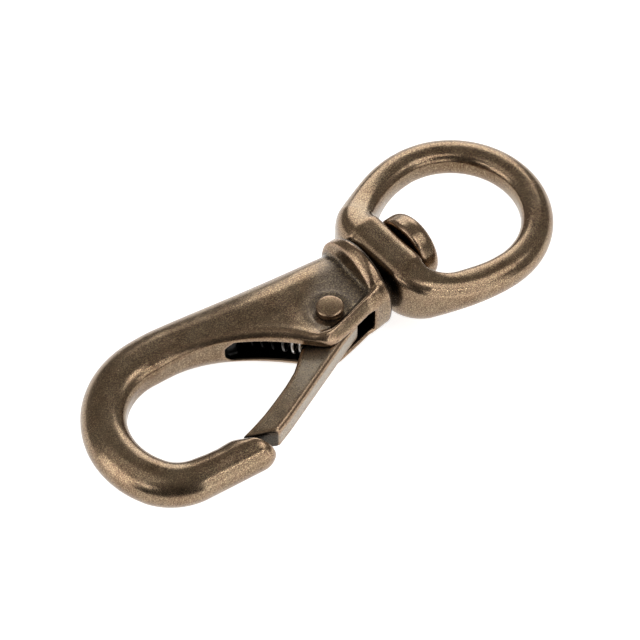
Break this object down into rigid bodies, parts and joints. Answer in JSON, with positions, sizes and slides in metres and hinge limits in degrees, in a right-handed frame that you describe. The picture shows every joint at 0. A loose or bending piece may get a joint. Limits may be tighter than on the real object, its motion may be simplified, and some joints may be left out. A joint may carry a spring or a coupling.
{
  "type": "swivel-eye snap hook",
  "caption": "Cast snap hook with a sprung lever gate and a swivelling oval eye, for clipping keys, straps or cord to a ring.",
  "frame": {"origin": "centre of the underside of the bounding box, with the hook lying flat and its gate closed", "axes": "+X along the swivel axis from the hook towards the eye, +Y across the hook from the gate towards the spine, +Z normal to the plane of the hook"},
  "size_m": [0.0846, 0.033, 0.0143],
  "materials": {
    "antique_brass": "dark antique brass plating on a zinc casting, slightly rubbed on its edges",
    "rubbed_brass": "antique brass plating rubbed to a coppery shine",
    "spring_steel": "bright spring wire"
  },
  "bodies": {
    "hook": {"hook_body": "antique_brass", "gate_pivot_rivet": "rubbed_brass", "gate_spring": "spring_steel", "swivel_rivet": "antique_brass"},
    "lever": {"gate": "antique_brass"},
    "eye": {"swivel_eye": "antique_brass"}
  },
  "joints": [
    {"name": "gate_hinge", "type": "hinge", "parent": "hook", "child": "lever", "pos_m": [-0.00006, -0.00235, 0.00715], "axis": [0, 0, -1], "range_deg": [0, 32], "stiffness_Nm_per_rad": 0.06, "springref_deg": -28.65, "deforming": ["gate_spring"]},
    {"name": "eye_swivel", "type": "hinge", "parent": "hook", "child": "eye", "pos_m": [0.01369, 0.00155, 0.00715], "axis": [1, 0, 0], "continuous": true}
  ]
}
